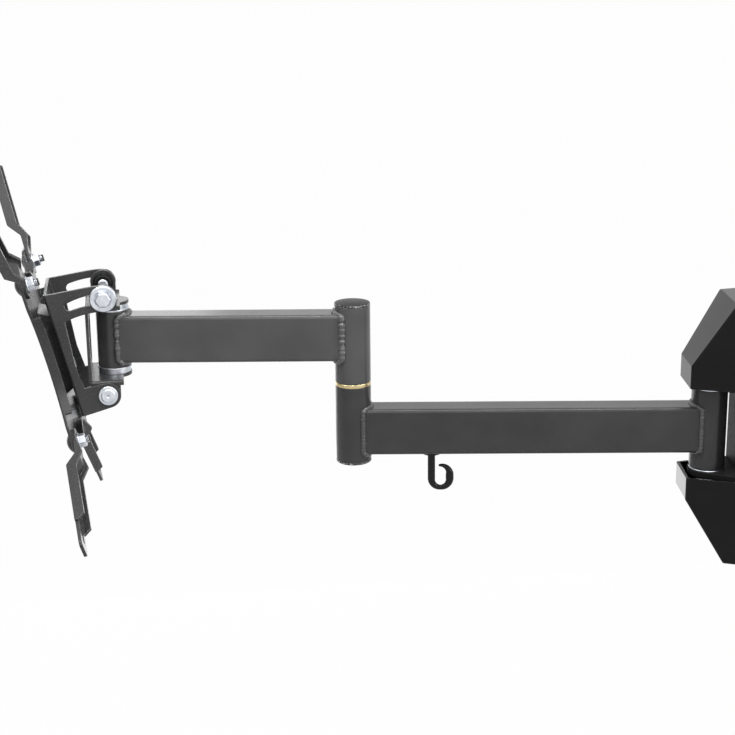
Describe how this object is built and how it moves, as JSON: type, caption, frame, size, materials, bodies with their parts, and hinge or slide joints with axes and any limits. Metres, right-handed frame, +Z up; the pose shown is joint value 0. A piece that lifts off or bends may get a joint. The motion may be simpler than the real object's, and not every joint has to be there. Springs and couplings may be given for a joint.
{
  "type": "swivel tv wall mount",
  "caption": "Articulated wall mount for a flat screen: two box-section arms on round posts, covered wall bracket, cable hook and a tilting plate with swinging slotted arms.",
  "frame": {"origin": "centre of the wall screw pattern, on the wall plate's back face", "axes": "+Y into the wall, +Z up, +X towards the side the picture is taken from"},
  "size_m": [0.2743, 0.643, 0.3594],
  "materials": {
    "arm_paint": "satin powder coat",
    "head_paint": "satin powder coat",
    "bracket_paint": "satin powder coat",
    "cover_plastic": "glossy moulded",
    "cap_plastic": "smooth moulded",
    "bush_plastic": "smooth",
    "zinc": "bright zinc plate",
    "brass": "turned",
    "hook_coat": "semi-gloss coat"
  },
  "bodies": {
    "wall_bracket": {"wall_plate": "bracket_paint", "upper_ear": "bracket_paint", "lower_ear": "bracket_paint", "upper_cover": "cover_plastic", "lower_cover": "cover_plastic", "wall_bolt": "zinc", "wall_nut": "zinc", "wall_washers": "zinc"},
    "inner_arm": {"wall_post": "arm_paint", "inner_arm_bar": "arm_paint", "elbow_lower_post": "arm_paint", "wall_bushes": "bush_plastic", "wall_thrust_washers": "zinc", "elbow_lower_bushes": "bush_plastic", "brass_washer": "brass", "elbow_bolt": "zinc", "elbow_nut": "zinc", "elbow_washers": "zinc", "elbow_bottom_cap": "cap_plastic", "cable_hook": "hook_coat", "hook_insert": "hook_coat"},
    "outer_arm": {"elbow_upper_post": "arm_paint", "outer_arm_bar": "arm_paint", "head_post": "arm_paint", "elbow_upper_bushes": "bush_plastic", "head_bushes": "bush_plastic", "elbow_top_cap": "cap_plastic"},
    "swivel_head": {"swivel_yoke": "head_paint", "head_bolt": "zinc", "head_nut": "zinc", "head_thrust_washers": "zinc", "head_spacers": "zinc", "tilt_lock_bolts": "zinc", "tilt_lock_washers": "zinc", "tilt_lock_nuts": "cap_plastic", "tilt_pivot_rivets": "zinc", "tilt_friction_washers": "bush_plastic"},
    "tilt_head": {"tilt_bracket": "head_paint", "screen_plate": "head_paint", "dish_rivets": "zinc", "arm_bolts": "hook_coat", "arm_washers": "zinc", "arm_nuts": "zinc"},
    "near_top_arm": {"arm_near_top": "head_paint"},
    "near_bottom_arm": {"arm_near_bottom": "head_paint"},
    "far_top_arm": {"arm_far_top": "head_paint"},
    "far_bottom_arm": {"arm_far_bottom": "head_paint"}
  },
  "joints": [
    {"name": "wall_swivel", "type": "hinge", "parent": "wall_bracket", "child": "inner_arm", "pos_m": [0, -0.027, 0], "axis": [0, 0, 1], "range_deg": [-90, 90]},
    {"name": "elbow", "type": "hinge", "parent": "inner_arm", "child": "outer_arm", "pos_m": [0, -0.327, 0.041], "axis": [0, 0, 1], "range_deg": [-105, 105]},
    {"name": "head_swivel", "type": "hinge", "parent": "outer_arm", "child": "swivel_head", "pos_m": [0, -0.527, 0.082], "axis": [0, 0, 1], "range_deg": [-101, 79]},
    {"name": "head_tilt", "type": "hinge", "parent": "swivel_head", "child": "tilt_head", "pos_m": [0.00124, -0.53338, 0.0412], "axis": [0.9816, 0.1908, 0], "range_deg": [-19, 0]},
    {"name": "near_top_swing", "type": "hinge", "parent": "tilt_head", "child": "near_top_arm", "pos_m": [0.05891, -0.58373, 0.13963], "axis": [0.1853, -0.9533, -0.2385], "range_deg": [-44, 46]},
    {"name": "near_bottom_swing", "type": "hinge", "parent": "tilt_head", "child": "near_bottom_arm", "pos_m": [0.05272, -0.55188, 0.00755], "axis": [0.1853, -0.9533, -0.2385], "range_deg": [-64, 26]},
    {"name": "far_top_swing", "type": "hinge", "parent": "tilt_head", "child": "far_top_arm", "pos_m": [-0.03337, -0.60166, 0.13963], "axis": [0.1853, -0.9533, -0.2385], "range_deg": [-18, 72]},
    {"name": "far_bottom_swing", "type": "hinge", "parent": "tilt_head", "child": "far_bottom_arm", "pos_m": [-0.03956, -0.56982, 0.00755], "axis": [0.1853, -0.9533, -0.2385], "range_deg": [-52, 38]}
  ]
}
